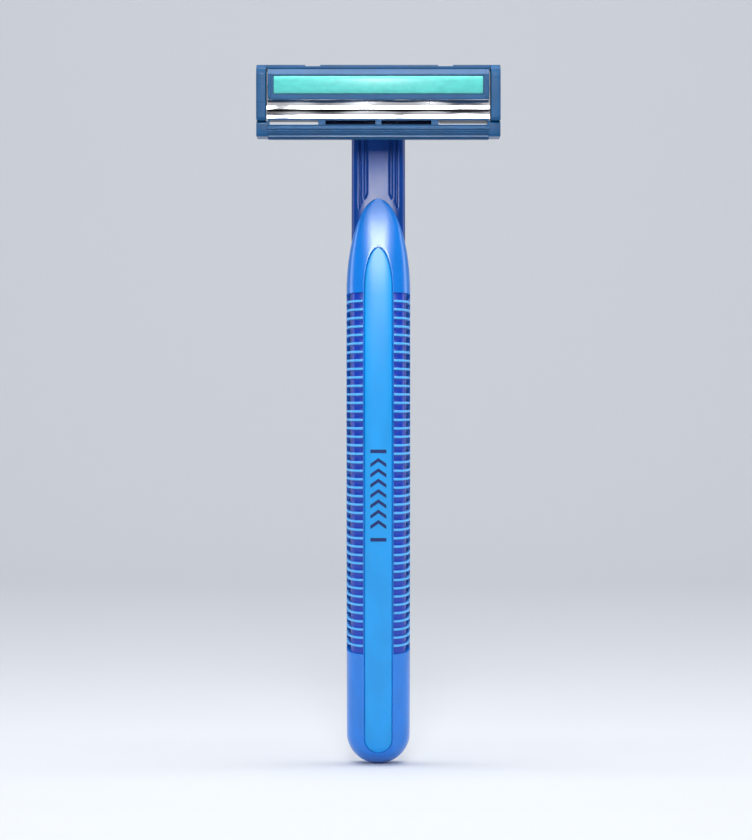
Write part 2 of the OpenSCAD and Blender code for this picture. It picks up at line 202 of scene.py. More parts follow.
def pearl_abs(colours):
    """Injection-moulded ABS with a fine pearl pigment and a polished mould: bright, softly glossy."""
    material, tree, shader, place = new_material("pearl_abs", **{
        "IOR": 1.54, "Roughness": 0.3, "Coat Weight": 0.35, "Coat Roughness": 0.2, "Coat IOR": 1.5})
    # Pearl flow lines run along the handle, 3 mm across and drawn out to 18 mm
    flow = noise(tree, place, 3 * MM, 3, (1, 1, 6))
    # Pigment flakes of about 0.05 mm are drawn at 0.25 mm so that they show
    flakes = noise(tree, place, 0.25 * MM, 1)
    tone = shade(tree, flow, colours.shell, 0.93, 1.07)
    speck = shade(tree, flakes, (1, 1, 1, 1), 0.95, 1.0)
    mixed = add_node(tree, "ShaderNodeMix", {0: 1.0, 6: tone, 7: speck},
                     data_type="RGBA", blend_type="MULTIPLY")
    tree.links.new(mixed.outputs[2], shader.inputs["Base Color"])
    tree.links.new(spread(tree, flow, 0.27, 0.34), shader.inputs["Roughness"])
    # Polished steel leaves a slight orange peel, 1 mm across and 1 micron deep
    peel = bump(tree, noise(tree, place, 1.0 * MM, 1), 0.002 * MM, 0.5)
    tree.links.new(bump(tree, flakes, 0.0006 * MM, 0.4, peel), shader.inputs["Normal"])
    return material


def satin_tpe(name, colour, roughness, grain, crest_highlight=None):
    """Over-moulded thermoplastic elastomer from an etched mould: satin, with a fine even grain."""
    material, tree, shader, place = new_material(name, **{
        "IOR": 1.5, "Roughness": roughness, "Coat Weight": 0.2, "Coat Roughness": 0.28})
    # The etched grain is about 0.1 mm in the real mould, drawn a little coarser, and tones vary over 4 mm
    fine = noise(tree, place, grain, 2)
    broad = noise(tree, place, 4 * MM, 2, (1, 1, 3))
    tone = shade(tree, broad, colour, 0.94, 1.06)
    if crest_highlight is not None:
        # Rib crests get a paler blue, a painted highlight where the light catches the ribs, over the bed's
        # deeper blue, which is painted shade
        rise = add_node(tree, "ShaderNodeAttribute", attribute_name="crest_highlight").outputs["Fac"]
        tone = add_node(tree, "ShaderNodeMix", {0: rise, 6: tone, 7: crest_highlight}, data_type="RGBA").outputs[2]
    tree.links.new(tone, shader.inputs["Base Color"])
    tree.links.new(spread(tree, fine, roughness - 0.04, roughness + 0.05), shader.inputs["Roughness"])
    tree.links.new(bump(tree, fine, 0.004 * MM, 0.5), shader.inputs["Normal"])
    return material


def navy_abs(colours):
    """Gloss-moulded navy ABS of the handle's core: dark, with sharp pale reflections."""
    material, tree, shader, place = new_material("navy_abs", **{
        "IOR": 1.54, "Roughness": 0.34, "Specular IOR Level": 0.3,
        "Coat Weight": 0.05, "Coat Roughness": 0.15})
    # Flow tones along the neck, 2 mm across and 10 mm long
    flow = noise(tree, place, 2 * MM, 3, (1, 1, 5))
    tree.links.new(shade(tree, flow, colours.core, 0.9, 1.1), shader.inputs["Base Color"])
    tree.links.new(spread(tree, flow, 0.27, 0.34), shader.inputs["Roughness"])
    tree.links.new(bump(tree, noise(tree, place, 0.8 * MM, 1), 0.002 * MM, 0.5), shader.inputs["Normal"])
    return material


def cartridge_abs(colours):
    """Moulded ABS of the cartridge: steel blue, semi-gloss, with drag lines along its length."""
    material, tree, shader, place = new_material("cartridge_abs", **{
        "IOR": 1.54, "Roughness": 0.3, "Specular IOR Level": 0.25,
        "Coat Weight": 0.1, "Coat Roughness": 0.2})
    # Drag lines run along the cartridge, 0.3 mm apart and 12 mm long, and its tone varies over 3 mm
    drag = noise(tree, place, 0.3 * MM, 2, (40, 1, 1))
    blotch = noise(tree, place, 3 * MM, 2)
    tree.links.new(shade(tree, blotch, colours.cartridge, 0.92, 1.08), shader.inputs["Base Color"])
    tree.links.new(spread(tree, drag, 0.26, 0.36), shader.inputs["Roughness"])
    tree.links.new(bump(tree, drag, 0.0015 * MM, 0.5), shader.inputs["Normal"])
    return material


def lubricating_polymer(colours):
    """Extruded lubricating strip of wax-filled polymer: chalky mint, faintly mottled, waxy."""
    material, tree, shader, place = new_material("lubricating_polymer", **{
        "IOR": 1.48, "Roughness": 0.34, "Coat Weight": 0.3, "Coat Roughness": 0.22,
        "Subsurface Weight": 0.12, "Subsurface Radius": (0.6 * MM, 1.0 * MM, 1.0 * MM),
        "Subsurface Scale": 1.0})
    # Wax mottling 0.8 mm across, and extrusion lines along the strip, 0.15 mm apart
    mottle = noise(tree, place, 0.8 * MM, 3, (2, 1, 1))
    lines = noise(tree, place, 0.15 * MM, 1, (60, 1, 1))
    tree.links.new(shade(tree, mottle, colours.strip, 0.93, 1.06), shader.inputs["Base Color"])
    tree.links.new(spread(tree, mottle, 0.3, 0.42), shader.inputs["Roughness"])
    tree.links.new(bump(tree, lines, 0.004 * MM, 0.4), shader.inputs["Normal"])
    return material


def ground_steel(colours):
    """Cold-rolled stainless steel strip, ground at its edge: bright, with grey waves in its reflections."""
    material, tree, shader, place = new_material("ground_steel", **{
        "Metallic": 1.0, "Roughness": 0.2, "Anisotropic": 0.4})
    # Rolled strip is never quite flat: waves 7 mm long tip its reflections.
    # Grinding lines of about 0.01 mm are drawn 0.06 mm apart so that they show
    waves = noise(tree, place, 2.4 * MM, 0, (3, 1, 3))
    lines = noise(tree, place, 0.06 * MM, 1, (1, 1, 30))
    # The waves also darken and lighten the steel's colour: painted grey and white reflection bands, on top of
    # the real tilt of its reflections that the bump gives
    tree.links.new(shade(tree, waves, colours.blade, 0.7, 1.1), shader.inputs["Base Color"])
    tree.links.new(spread(tree, waves, 0.16, 0.26), shader.inputs["Roughness"])
    under = bump(tree, waves, 0.8 * MM)
    tree.links.new(bump(tree, lines, 0.001 * MM, 0.3, under), shader.inputs["Normal"])
    return material


def rolled_aluminium(colours):
    """Rolled aluminium of the spacer: dull silver with lines along its length."""
    material, tree, shader, place = new_material("rolled_aluminium", **{"Metallic": 1.0, "Roughness": 0.38})
    # Rolling lines 0.1 mm apart, 5 mm long
    lines = noise(tree, place, 0.1 * MM, 2, (50, 1, 1))
    tree.links.new(shade(tree, lines, colours.spacer, 0.85, 1.05), shader.inputs["Base Color"])
    tree.links.new(spread(tree, lines, 0.32, 0.45), shader.inputs["Roughness"])
    tree.links.new(bump(tree, lines, 0.002 * MM, 0.4), shader.inputs["Normal"])
    return material


def pad_ink(colours):
    """Pad-printed ink: a thin, matt navy film, a little uneven."""
    material, tree, shader, place = new_material("pad_ink", **{"IOR": 1.5, "Roughness": 0.5})
    # Ink coverage varies over 0.4 mm
    cover = noise(tree, place, 0.4 * MM, 2)
    tree.links.new(shade(tree, cover, colours.ink, 0.85, 1.5), shader.inputs["Base Color"])
    tree.links.new(spread(tree, cover, 0.42, 0.58), shader.inputs["Roughness"])
    tree.links.new(bump(tree, cover, 0.002 * MM, 0.3), shader.inputs["Normal"])
    return material


def studio_paper(colours):
    """Seamless background paper: matt and pale, with a faint tooth."""
    material, tree, shader, place = new_material("studio_paper", **{
        "Roughness": 0.9, "Specular IOR Level": 0.2})
    # Paper tooth of 0.6 mm
    tooth = noise(tree, place, 0.6 * MM, 2)
    tree.links.new(shade(tree, tooth, colours.paper, 0.99, 1.0), shader.inputs["Base Color"])
    tree.links.new(bump(tree, tooth, 0.01 * MM, 0.3), shader.inputs["Normal"])
    return material


# ------------------------------ mesh tools

WELD = 0.001 * MM           # vertices nearer than this are one
SLIGHT_BEND = 0.14          # sine of a bend too slight to be rounded
LEAST_ROUND = 0.015 * MM    # a rounded corner moved inwards keeps this radius
EDGE_SHARE = 0.45           # part of an edge that a rounded corner may take
MOULDED_SHARP = math.radians(32)    # least angle of a sharp edge on a moulding with flats


def closed_skin(rings, mesh=None):
    """A bmesh, new or given, through closed rings of equal length, with a face over each end."""
    if mesh is None:
        mesh = bmesh.new()
    rows = [[mesh.verts.new(p) for p in ring] for ring in rings]
    for low, high in zip(rows, rows[1:]):
        for i in range(len(low)):
            j = (i + 1) % len(low)
            mesh.faces.new((low[i], low[j], high[j], high[i]))
    mesh.faces.new(rows[0][::-1])
    mesh.faces.new(rows[-1])
    return mesh


def rounded_outline(corners, radius, inset=0.0, steps=4):
    """A closed outline, moved inwards by inset, with rounded corners.
    A corner's third number overrides the radius."""
    count = len(corners)
    flat = [Vector(c[:2]) for c in corners]
    area = sum(flat[i - 1].cross(flat[i]) for i in range(count))
    side = 1 if area > 0 else -1
    moved, bends = [], []
    for i, here in enumerate(flat):
        before = (here - flat[i - 1]).normalized()
        after = (flat[(i + 1) % count] - here).normalized()
        n1, n2 = (side * Vector((-e.y, e.x)) for e in (before, after))
        moved.append(here + (n1 + n2) * inset / (1 + n1.dot(n2)))
        bends.append(side * before.cross(after))
    points = []
    for i, corner in enumerate(corners):
        here = moved[i]
        before, after = moved[i - 1] - here, moved[(i + 1) % count] - here
        r = corner[2] if len(corner) > 2 else radius
        if r <= 0 or abs(bends[i]) < SLIGHT_BEND:
            points.append(tuple(here))
            continue
        angle = before.angle(after)
        r = max(r - inset, LEAST_ROUND) if bends[i] > 0 else r + inset
        reach = min(r / math.tan(angle / 2), EDGE_SHARE * before.length, EDGE_SHARE * after.length)
        r = reach * math.tan(angle / 2)
        inwards = (before.normalized() + after.normalized()).normalized()
        middle = here + inwards * (r / math.sin(angle / 2))
        start = here + before.normalized() * reach - middle
        end = here + after.normalized() * reach - middle
        turn = start.angle_signed(end, 0)
        first = math.atan2(start.y, start.x)
        for k in range(steps + 1):
            a = first - turn * k / steps
            points.append((middle.x + r * math.cos(a), middle.y + r * math.sin(a)))
    return points


def prism(corners, radius, low, high, place, end_round=0.0):
    """A rounded outline carried from low to high, whose ends may be rounded.
    place turns (a, b, along) into a point."""
    levels = [(low, 0.0), (high, 0.0)]
    if end_round:
        # The middle of a quarter circle, from either end
        part = 1 - math.sqrt(0.5)
        levels = [(low, end_round), (low + end_round * part, end_round * part), (low + end_round, 0),
                  (high - end_round, 0), (high - end_round * part, end_round * part), (high, end_round)]
    rings = []
    for along, inset in levels:
        rings.append([place(a, b, along) for a, b in rounded_outline(corners, radius, inset)])
    return closed_skin(rings)


def new_object(mesh, name):
    """An object from a bmesh, which is freed."""
    data = bpy.data.meshes.new(name)
    mesh.to_mesh(data)
    mesh.free()
    made = bpy.data.objects.new(name, data)
    bpy.context.scene.collection.objects.link(made)
    return made


def combine(base, parts):
    """The bmesh base with parts, a list of (operation, bmesh), carved from it or joined to it."""
    for mesh in [base] + [mesh for operation, mesh in parts]:
        bmesh.ops.recalc_face_normals(mesh, faces=mesh.faces)
    body = new_object(base, "work")
    helpers = []
    for i, (operation, mesh) in enumerate(parts):
        helper = new_object(mesh, f"work_{i}")
        helpers.append(helper)
        modifier = body.modifiers.new(f"step_{i}", "BOOLEAN")
        modifier.operation = operation
        modifier.solver = "EXACT"
        modifier.object = helper
    done = bpy.context.evaluated_depsgraph_get()
    bpy.context.view_layer.update()
    result = bmesh.new()
    result.from_mesh(body.evaluated_get(done).to_mesh())
    for made in [body, *helpers]:
        data = made.data
        bpy.data.objects.remove(made)
        bpy.data.meshes.remove(data)
    return result


def cuboid(low, high):
    """A bmesh box between two corners, for carving and joining."""
    (x0, y0, z0), (x1, y1, z1) = low, high
    return closed_skin([[(x0, y0, z), (x1, y0, z), (x1, y1, z), (x0, y1, z)] for z in (z0, z1)])


def piece(mesh, name, material, body, stands_for=(), sharp=math.radians(38), level=False):
    """A finished piece from a bmesh: smooth but for its sharp edges, riding on a body of the frame.
    level lets the large faces set the shading, as on a moulding with flats."""
    bmesh.ops.remove_doubles(mesh, verts=mesh.verts, dist=WELD)
    bmesh.ops.dissolve_degenerate(mesh, edges=mesh.edges, dist=WELD / 2)
    bmesh.ops.recalc_face_normals(mesh, faces=mesh.faces)
    for face in mesh.faces:
        face.smooth = True
    for edge in mesh.edges:
        edge.smooth = len(edge.link_faces) == 2 and edge.calc_face_angle(0) <= sharp
    made = new_object(mesh, name)
    made.data.materials.append(material)
    if level:
        made.modifiers.new("flats", "WEIGHTED_NORMAL").keep_sharp = True
    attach(made, body)
    if stands_for:
        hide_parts(*stands_for)
    return made


# ------------------------------ handle shapes

LEVEL_TOP = 6 * MM          # the grip's sections are level up to here
LEVEL_BLEND = 8 * MM        # and stand square to the bow this far above
GRIP_SQUARE = 2.8           # squareness of the grip's section
END_ROUND = 5 * MM          # how far the lower end is rounded, seen from the side
THINNEST = 0.02 * MM        # half width of a section where an outline closes
RIB_ZONE = (19.5 * MM, 81.1 * MM)   # lower and upper end of the side grips
REAR_EDGE = -0.8 * MM       # the side grips' rear edge, behind the middle of the side
LIP = 0.2 * MM              # shell between the panel and a side grip
SEAM = 0.03 * MM            # play between two mouldings
# The panel's lower end, the height where its arch springs, and the arch's own height
PANEL_LOW, PANEL_SPRING, PANEL_ARCH = 2.2 * MM, 81.5 * MM, 7.3 * MM
RECESS_DEPTH = 0.5 * MM     # the shell's recess for the panel
POCKET_DEPTH = 0.95 * MM    # the shell's pocket for a side grip
SIDE_GRIP_DEPTH = 0.9 * MM  # the part of that pocket which a side grip fills
BED_SINK = (0.72 * MM, 0.55 * MM)   # the bed between ribs, below the side and below the front
BED_SQUARE = 4.6            # squareness of the bed's section
# Half of a rib's section: (millimetres beyond its half thickness, rise)
RIB_SECTION = ((0.1, 0.0), (0.02, 0.1), (0, 0.75), (-0.05, 0.93), (-0.12, 1.0))
# The flutes on each half of the neck: (middle, width)
FLUTES = ((2.14 * MM, 0.57 * MM), (3.11 * MM, 0.39 * MM))
# A flute's section: (share of its half width, millimetres outwards from there, share of its depth)
FLUTE_SECTION = ((-1, -0.05, 0), (-1, 0.0, 0.1), (-1, 0.05, 0.85), (-0.4, 0, 1), (0.4, 0, 1),
                 (1, -0.05, 0.85), (1, 0, 0.1), (1, 0.05, 0))
FLUTE_DEPTH = 0.4 * MM
FLUTE_DISTANCE = 0.9 * MM   # from the arrowhead's outline to where a flute starts
FLUTE_RUN_IN = 0.35 * MM    # length over which a flute opens
NECK_SQUARE = 5             # squareness of the neck's section


def on_bow(front_z, forward, x):
    """Point of the grip. Its section stands square to the bow, and turns level at the round end."""
    angle = math.asin((front_z - BOW_MIDDLE) / FRONT_RADIUS)
    square = (BOW_FRONT_Y + BOW_RADIUS - (BOW_RADIUS + forward) * math.cos(angle),
              BOW_MIDDLE + (BOW_RADIUS + forward) * math.sin(angle))
    lean = math.asin((front_z - BOW_MIDDLE) / BOW_RADIUS)
    level = (BOW_FRONT_Y + BOW_RADIUS * (1 - math.cos(lean)) - forward / math.cos(lean), front_z)
    t = min(1, max(0, (front_z - LEVEL_TOP) / LEVEL_BLEND))
    t = t * t * (3 - 2 * t)
    return (x, *(t * a + (1 - t) * b for a, b in zip(square, level)))


def on_neck(axis_z, forward, x):
    """Point of the neck, whose section stands square to its axis."""
    if axis_z <= BEND_Z:
        angle = math.asin((axis_z - BOW_MIDDLE) / BOW_RADIUS)
        return (x, BOW_FRONT_Y + BOW_RADIUS - (BOW_RADIUS + forward) * math.cos(angle),
                BOW_MIDDLE + (BOW_RADIUS + forward) * math.sin(angle))
    angle = math.asin((axis_z - NECK_MIDDLE) / NECK_RADIUS)
    return (x, NECK_CENTRE_Y + (NECK_RADIUS - forward) * math.cos(angle),
            NECK_MIDDLE + (NECK_RADIUS - forward) * math.sin(angle))


def superellipse(angle, width, depth, square):
    """Point (x, forward) of a section at an angle from its front, with half sizes width and depth."""
    s, c = math.sin(angle), math.cos(angle)
    r = ((abs(s) / width) ** square + (abs(c) / depth) ** square) ** (-1 / square)
    return r * s, r * c


def forward_at(x, width, depth, square):
    """How far forward a section's surface stands at x."""
    return depth * (1 - min(1, abs(x) / width) ** square) ** (1 / square)


def across_at(forward, width, depth, square):
    """How far out a section's surface stands at a depth."""
    return width * (1 - min(1, abs(forward) / depth) ** square) ** (1 / square)


def grip_section_at(z, sizes):
    """Half width, half depth and squareness of the grip at a height. No section closes fully."""
    width, depth, square = sizes.grip_width / 2, sizes.grip_depth / 2, GRIP_SQUARE
    if z < width:
        width = math.sqrt(max(width ** 2 - (width - z) ** 2, THINNEST ** 2))
    if z < END_ROUND:
        depth *= math.sqrt(max(1 - (1 - z / END_ROUND) ** 2, 2e-5))
    if z > sizes.shoulder:
        t = min(1, (z - sizes.shoulder) / sizes.arrow)
        width *= math.sqrt(max(1 - t * t, 1e-4))
        # The tip stays 0.35 mm proud of the neck
        depth -= (depth - sizes.neck_depth / 2 - 0.35 * MM) * t * t
        square += 6 * t ** 3
    return width, depth, square


def panel_half_width(z, sizes):
    """Half width of the panel at a height: round below, arched above."""
    half = sizes.panel_width / 2
    if z <= PANEL_LOW or z >= PANEL_SPRING + PANEL_ARCH:
        return 0.0
    if z < PANEL_LOW + half:
        return half * math.sqrt(1 - (1 - (z - PANEL_LOW) / half) ** 2)
    if z > PANEL_SPRING:
        return half * math.sqrt(1 - ((z - PANEL_SPRING) / PANEL_ARCH) ** 2)
    return half


def mirrored(half):
    """A closed ring from its right half, which runs from the front's middle to the back's."""
    return half + [(-x, f) for x, f in reversed(half[1:-1])]


def between(a, b, count):
    """Evenly spaced values from a to b, both included."""
    return [a + (b - a) * i / (count - 1) for i in range(count)]


def grip_heights(sizes):
    """Heights of the grip's rings, close together where its outline turns."""
    half, arch_top, tip = sizes.grip_width / 2, PANEL_SPRING + PANEL_ARCH, sizes.shoulder + sizes.arrow
    round_end = (2, 6, 11, 17, 24, 32, 40, 48, 56, 64, 72, 80, 88)
    above_low = (-0.05, 0.005, 0.05, 0.15, 0.35, 0.65, 1.0, 1.45, 1.9, 2.4)
    below_arch = (-0.05, 0.005, 0.05, 0.15, 0.35, 0.7, 1.2, 1.8, 2.6, 3.5, 4.6, 6)
    arrow = (0.1, 0.2, 0.3, 0.4, 0.5, 0.6, 0.7, 0.78, 0.85, 0.9, 0.94, 0.97, 0.985, 0.995)
    heights = [half * (1 - math.cos(math.radians(a))) for a in round_end]
    heights += [PANEL_LOW + d * MM for d in above_low]
    heights += [arch_top - d * MM for d in below_arch]
    for z in RIB_ZONE:
        heights += [z - SEAM, z + SEAM]
    heights += [tip - sizes.arrow * (1 - t) for t in arrow]
    heights += between(7 * MM, 80 * MM, 30)
    heights += [sizes.shoulder, tip]
    least, kept = 0.04 * MM, []
    for z in sorted(heights):
        if not kept or z - kept[-1] > least:
            kept.append(z)
    return kept


def shell_ring(z, sizes):
    """Ring of the shell, with the panel's recess in front and a pocket for each side grip."""
    section = grip_section_at(z, sizes)
    width = section[0]
    half = panel_half_width(z, sizes)
    recess = 1 if half else 0
    ribbed = 1 if RIB_ZONE[0] <= z <= RIB_ZONE[1] else 0
    edge = min(sizes.panel_width / 2 + LIP, 0.65 * width)
    profile = []
    for share in (0, 0.45, 0.8, 1):
        x = half * share
        profile.append((x, forward_at(x, *section) - recess * RECESS_DEPTH))
    # The recess's rim is rounded, while there is room for it beside the panel
    reach = min(1, max(0, (edge - half) / LIP))
    for out, down in ((0.0, 0.12), (0.03, 0.05), (0.09, 0.01), (0.15, 0)):
        x = half + out * MM * reach
        profile.append((x, forward_at(x, *section) - recess * down * MM))
    first = profile[-1][0]
    for share in (0.3, 0.65, 1):
        x = first + (edge - SEAM * recess - first) * share
        profile.append((x, forward_at(x, *section)))
    rear = max(REAR_EDGE, -0.3 * section[1])
    sunk = POCKET_DEPTH * ribbed
    pocket = (width - sunk, section[1] - sunk, section[2])
    start = math.atan2(edge, forward_at(edge, *pocket))
    end = math.atan2(across_at(rear, *pocket), rear)
    profile += [superellipse(a, *pocket) for a in between(start, end, 20)]
    end = math.atan2(across_at(rear, *section), rear)
    profile += [superellipse(a, *section) for a in between(end + 0.01, math.pi, 18)]
    profile[-1] = (0.0, profile[-1][1])
    return [on_bow(z, f, x) for x, f in mirrored(profile)]


def panel_ring(z, sizes):
    """Ring of the panel, whose face follows the grip's and rounds off at its edge."""
    section = grip_section_at(z, sizes)
    half = max(panel_half_width(z, sizes) - SEAM, THINNEST)
    # The edge is rounded over 0.3 mm, and over less where the panel is narrower than 1.2 mm
    scale = min(1, half / (0.6 * MM))
    top = [((half - 0.3 * MM * scale) * share, 0) for share in (0, 0.25, 0.5, 0.7)]
    for inside, down in ((0.3, 0), (0.18, 0.012), (0.1, 0.045), (0.04, 0.1), (0.01, 0.17), (0, 0.3)):
        top.append((half - inside * MM * scale, down * MM))
    profile = [(x, forward_at(x, *section) - sizes.panel_sink - down) for x, down in top]
    for x in (half * share for share in (0.99, 0.66, 0.33, 0)):
        profile.append((x, forward_at(x, *section) - (RECESS_DEPTH - SEAM)))
    return [on_bow(z, f, x) for x, f in mirrored(profile)]


def rib_levels(sizes):
    """(height, rise) along a side grip, where rise is 0 on the bed and 1 on top of a rib."""
    low, high = (math.asin((z - BOW_MIDDLE) / FRONT_RADIUS) for z in RIB_ZONE)
    half = sizes.rib_thickness / 2
    steps = [(half + out * MM, rise) for out, rise in RIB_SECTION]
    levels = [(RIB_ZONE[0], 0.0)]
    for i in range(1, sizes.rib_count + 1):
        angle = low + (high - low) * i / (sizes.rib_count + 1)
        middle = BOW_MIDDLE + FRONT_RADIUS * math.sin(angle)
        levels += [(middle - d, rise) for d, rise in steps]
        levels += [(middle + d, rise) for d, rise in reversed(steps)]
    return levels + [(RIB_ZONE[1], 0.0)]


def side_grip_ring(z, rise, sizes, side):
    """Ring of a side grip between its bed's section and the rib's, which is the grip's own."""
    rib = grip_section_at(z, sizes)
    bed = (rib[0] - BED_SINK[0], rib[1] - BED_SINK[1], BED_SQUARE)
    floor = (rib[0] - SIDE_GRIP_DEPTH, rib[1] - SIDE_GRIP_DEPTH, GRIP_SQUARE)
    edge = sizes.panel_width / 2 + LIP + 0.02 * MM
    rear = REAR_EDGE + SEAM

    def section_ends(section):
        return math.atan2(edge, forward_at(edge, *section)), math.atan2(across_at(rear, *section), rear)

    ends = [section_ends(bed), section_ends(rib)]
    outer, count = [], 26
    for k in range(count):
        t = k / (count - 1)
        low, high = (superellipse(a + (b - a) * t, *s) for (a, b), s in zip(ends, (bed, rib)))
        outer.append(tuple(p + (q - p) * rise for p, q in zip(low, high)))
    # A rib's inner end is rounded down to the lip beside the panel
    outer[0] = (outer[0][0], outer[0][1] - 0.1 * MM * rise)
    front, back = section_ends(floor)
    inner = [superellipse(a, *floor) for a in between(back, front, 12)]
    return [on_bow(z, f, side * x) for x, f in outer + inner]


def flute_start(x, sizes):
    """Height where a flute starts: it keeps its distance from the arrowhead's outline."""
    t = min(1, abs(x) / (sizes.grip_width / 2))
    return sizes.shoulder + sizes.arrow * math.sqrt(1 - t * t) + FLUTE_DISTANCE


def neck_ring(z, sizes):
    """Ring of the neck with its flutes in front and behind."""
    section = (sizes.neck_width / 2, sizes.neck_depth / 2, NECK_SQUARE)
    columns = [(x * MM, 0) for x in (0, 0.6, 1.2, 1.6)]
    for middle, width in FLUTES:
        columns += [(middle + out * MM + share * width / 2, dip) for share, out, dip in FLUTE_SECTION]
    front = []
    for x, dip in columns:
        open_by = min(1, max(0, (z - flute_start(x, sizes)) / FLUTE_RUN_IN))
        front.append((x, forward_at(x, *section) - dip * open_by * FLUTE_DEPTH))
    last = columns[-1][0]
    start = math.atan2(last, forward_at(last, *section))
    side = [superellipse(a, *section) for a in between(start, math.pi - start, 24)[1:-1]]
    back = [(x, -f) for x, f in reversed(front)]
    return [on_neck(z, f, x) for x, f in mirrored(front + side + back)]


# ------------------------------ cartridge shapes

# Half length of the mouldings between the frame's arms, in millimetres
HEAD_INNER = 18.65
# The T rail's channel, open at the cartridge's left end: its wide part and its mouth, as head boxes
RAIL_CHANNEL = ((-60, 10.35, -2.9, -1.0, 0.85, 6.45), (-60, 10.35, -1.01, 1.0, 1.65, 5.65))


def in_head(y, z, x):
    """Point of the cartridge from its side view, in the cartridge's own place."""
    return (x, HEAD_BACK + y, HEAD_BASE + z)


def head_box(x0, x1, y0, y1, z0, z1):
    """A box in the cartridge's own place, in millimetres."""
    return cuboid(in_head(y0 * MM, z0 * MM, x0 * MM), in_head(y1 * MM, z1 * MM, x1 * MM))


def side_view(points):
    """Side view points from millimetres."""
    return [tuple(v * MM for v in p) for p in points]


def head_moulding(context, name, node, base, parts):
    """A moulding of the cartridge. They share one material, made for the first of them."""
    material = bpy.data.materials.get("cartridge_abs") or cartridge_abs(context.scene.razor_colours)
    piece(combine(base, parts), name, material, "cartridge", (node,), MOULDED_SHARP, True)


# ------------------------------ operators

class RAZOR_OT_shell(bpy.types.Operator):
    """Builds the moulded shell of the grip"""
    bl_idname = "razor.shell"
    bl_label = "Grip Shell"

    def execute(self, context):
        sizes = context.scene.razor_handle
        rings = [shell_ring(z, sizes) for z in grip_heights(sizes)]
        piece(closed_skin(rings), "grip_shell_moulding", pearl_abs(context.scene.razor_colours), "handle",
              ("grip_shell",))
        return {"FINISHED"}


class RAZOR_OT_panel(bpy.types.Operator):
    """Builds the inlaid thumb panel"""
    bl_idname = "razor.panel"
    bl_label = "Thumb Panel"

    def execute(self, context):
        sizes, colours = context.scene.razor_handle, context.scene.razor_colours
        rings = [panel_ring(z, sizes) for z in grip_heights(sizes) if panel_half_width(z, sizes)]
        material = satin_tpe("satin_tpe", colours.panel, 0.36, 0.22 * MM)
        piece(closed_skin(rings), "thumb_panel_inlay", material, "handle", ("thumb_panel",))
        return {"FINISHED"}


class RAZOR_OT_side_grips(bpy.types.Operator):
    """Builds the two ribbed side grips"""
    bl_idname = "razor.side_grips"
    bl_label = "Side Grips"

    def execute(self, context):
        sizes, colours = context.scene.razor_handle, context.scene.razor_colours
        material = satin_tpe("ribbed_tpe", colours.side_grip, 0.34, 0.18 * MM, colours.crest_highlight)
        levels = rib_levels(sizes)
        for side, node in ((-1, "side_grip_left"), (1, "side_grip_right")):
            rings = [side_grip_ring(z, rise, sizes, side) for z, rise in levels]
            mesh = closed_skin(rings)
            # Each vertex carries its ring's rise, which the material uses to paint a highlight on the rib
            # crests and shade on the bed between them
            crest_highlight = mesh.verts.layers.float.new("crest_highlight")
            for i, vert in enumerate(mesh.verts):
                vert[crest_highlight] = levels[i // len(rings[0])][1]
            piece(mesh, f"{node}_ribs", material, "handle", (node,))
        return {"FINISHED"}


class RAZOR_OT_core(bpy.types.Operator):
    """Builds the fluted neck and the T rail that it carries"""
    bl_idname = "razor.core"
    bl_label = "Neck and Rail"

    def execute(self, context):
        sizes, colours = context.scene.razor_handle, context.scene.razor_colours
        material = navy_abs(colours)
        # Few rings inside the grip, and many where the flutes start
        heights = between(76 * MM, 91 * MM, 6) + between(92 * MM, 112.9 * MM, 85)
        neck = closed_skin([neck_ring(z, sizes) for z in heights])
        piece(neck, "neck_moulding", material, "handle", ("handle_core",), math.radians(50))
        # The rail's plan, and that of the web which widens from the neck to the rail
        half, neck_half = 10.2 * MM, 4.575 * MM
        rail = [(-half, -2.75 * MM), (half, -2.75 * MM), (half, -1.15 * MM), (-half, -1.15 * MM)]
        inner = half - 0.05 * MM
        web = [(-inner, -1.4 * MM, 0), (inner, -1.4 * MM, 0), (inner, 0.5 * MM),
               (neck_half, 2.3 * MM), (-neck_half, 2.3 * MM), (-inner, 0.5 * MM)]

        def in_plan(x, y, z):
            return in_head(y, z, x)

        bar = combine(prism(rail, 0.25 * MM, 1.0 * MM, 6.3 * MM, in_plan, 0.2 * MM),
                      [("UNION", prism(web, 0.6 * MM, 1.8 * MM, 5.5 * MM, in_plan, 0.25 * MM))])
        piece(bar, "rail_moulding", material, "handle", ("handle_core",))
        return {"FINISHED"}


class RAZOR_OT_mark(bpy.types.Operator):
    """Prints a plain row of chevrons on the panel"""
    bl_idname = "razor.mark"
    bl_label = "Printed Chevrons"

    def execute(self, context):
        sizes, colours = context.scene.razor_handle, context.scene.razor_colours
        mesh = bmesh.new()

        def ink(x, z, above):
            section = grip_section_at(z, sizes)
            return on_bow(z, forward_at(x, *section) - sizes.panel_sink + above, x)

        def stroke(line, height):
            """A printed stroke of a given height along the handle, through points (x, z)."""
            rows, parts = [], 4
            for (x0, z0), (x1, z1) in zip(line, line[1:]):
                rows += [(x0 + (x1 - x0) * k / parts, z0 + (z1 - z0) * k / parts) for k in range(parts)]
            rows.append(line[-1])
            film = 0.02 * MM
            rings = []
            for x, z in rows:
                corners = ((z, -film), (z + height, -film), (z + height, film), (z, film))
                rings.append([ink(x, corner_z, above) for corner_z, above in corners])
            closed_skin(rings, mesh)

        # Seven chevrons, 1.75 mm apart, between two bars
        reach, point = 1.35 * MM, 0.95 * MM
        for i in range(7):
            z = (41 + 1.75 * i) * MM
            stroke([(-reach, z), (0, z + point), (reach, z)], 0.62 * MM)
        for z in (38.9 * MM, 53.9 * MM):
            stroke([(-reach, z), (reach, z)], 0.6 * MM)
        piece(mesh, "printed_chevrons", pad_ink(colours), "handle", ())
        return {"FINISHED"}


